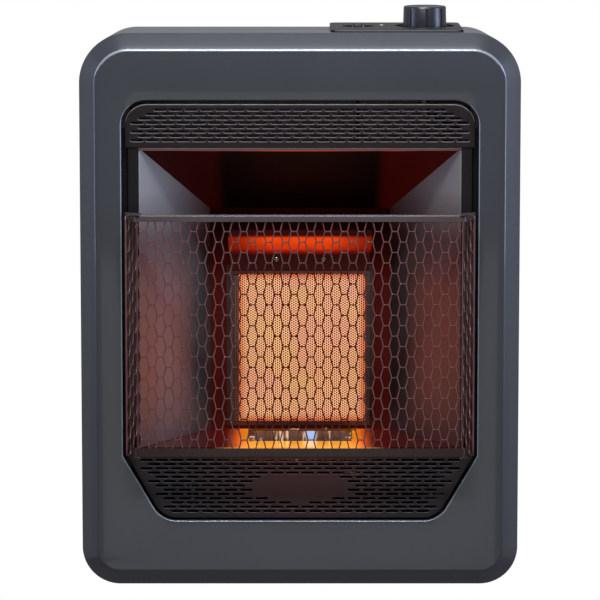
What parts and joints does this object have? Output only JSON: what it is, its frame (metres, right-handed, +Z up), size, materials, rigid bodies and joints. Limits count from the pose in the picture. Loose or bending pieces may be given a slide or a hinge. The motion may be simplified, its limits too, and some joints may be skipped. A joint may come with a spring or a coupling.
{
  "type": "wall mounted gas heater",
  "caption": "Wall-hung gas heater: pressed bezel and cabinet, ceramic plaque burner in a reflector firebox, mesh guard, slotted louvre panels, knob and igniter on top.",
  "frame": {"origin": "on the wall plane, midway between the two keyholes and at their height", "axes": "+Z up, +Y into the wall, the front looks along -Y, +X to the right as the front is seen"},
  "size_m": [0.425, 0.228, 0.5748],
  "materials": {
    "slate": "satin",
    "casing": "satin",
    "black": "satin",
    "guard": "satin",
    "polished": "polished",
    "darkSteel": "heat darkened",
    "galvanised": "matt",
    "ceramic": "matt",
    "white": "glazed",
    "felt": "matt",
    "plate": "satin",
    "plastic": "satin",
    "castAlloy": "cast",
    "brass": "turned",
    "pipe": "drawn",
    "rubber": "matt"
  },
  "bodies": {
    "root": {"cabinet_shell": "casing", "cabinet_back": "galvanised", "heat_shield": "galvanised", "case_screw_1": "galvanised", "case_screw_2": "galvanised", "case_screw_3": "galvanised", "case_screw_4": "galvanised", "front_bezel": "slate", "upper_louvre_panel": "black", "lower_louvre_panel": "black", "left_post": "black", "right_post": "black", "guard_frame": "guard", "guard_mesh_front": "guard", "guard_mesh_left": "guard", "guard_mesh_right": "guard", "left_reflector": "polished", "right_reflector": "polished", "hood_deflector": "darkSteel", "floor_reflector": "polished", "firebox_back": "darkSteel", "plaque_frame": "polished", "plaque_gasket": "felt", "ceramic_plaque": "ceramic", "burner_plenum": "galvanised", "clamp_bar": "darkSteel", "clamp_screw_left": "galvanised", "clamp_screw_right": "galvanised", "heat_baffle": "polished", "venturi": "galvanised", "injector_bracket": "galvanised", "injector_holder": "brass", "gas_injector": "brass", "pilot_bracket": "galvanised", "pilot_burner": "brass", "electrode_insulator": "white", "pilot_electrode": "galvanised", "thermocouple": "castAlloy", "control_plate": "plate", "control_bracket": "galvanised", "valve_bonnet": "brass", "gas_valve_body": "castAlloy", "igniter_body": "plastic", "igniter_nut": "galvanised", "gas_regulator": "castAlloy", "regulator_cap": "castAlloy", "regulator_bracket": "galvanised", "inlet_fitting": "brass", "burner_tube": "pipe", "inlet_tube": "pipe", "pilot_tube": "pipe", "thermocouple_lead": "brass", "ignition_cable": "rubber"},
    "valve_plug": {"valve_rotor": "brass"},
    "knob": {"control_knob": "plastic", "valve_stem": "galvanised"},
    "igniter": {"igniter_button": "plastic"}
  },
  "joints": [
    {"name": "knob_turn", "type": "hinge", "parent": "root", "child": "valve_plug", "pos_m": [0.1224, -0.11505, 0.10271], "axis": [0, -0.0401, 0.9992], "range_deg": [-240, 0]},
    {"name": "knob_push", "type": "slide", "parent": "valve_plug", "child": "knob", "axis": [0, 0.0401, -0.9992], "range_m": [0, 0.003], "stiffness_N_per_m": 5000, "springref_m": -0.001},
    {"name": "igniter_push", "type": "slide", "parent": "root", "child": "igniter", "axis": [0, 0.0401, -0.9992], "range_m": [0, 0.006], "stiffness_N_per_m": 2500, "springref_m": -0.002}
  ]
}
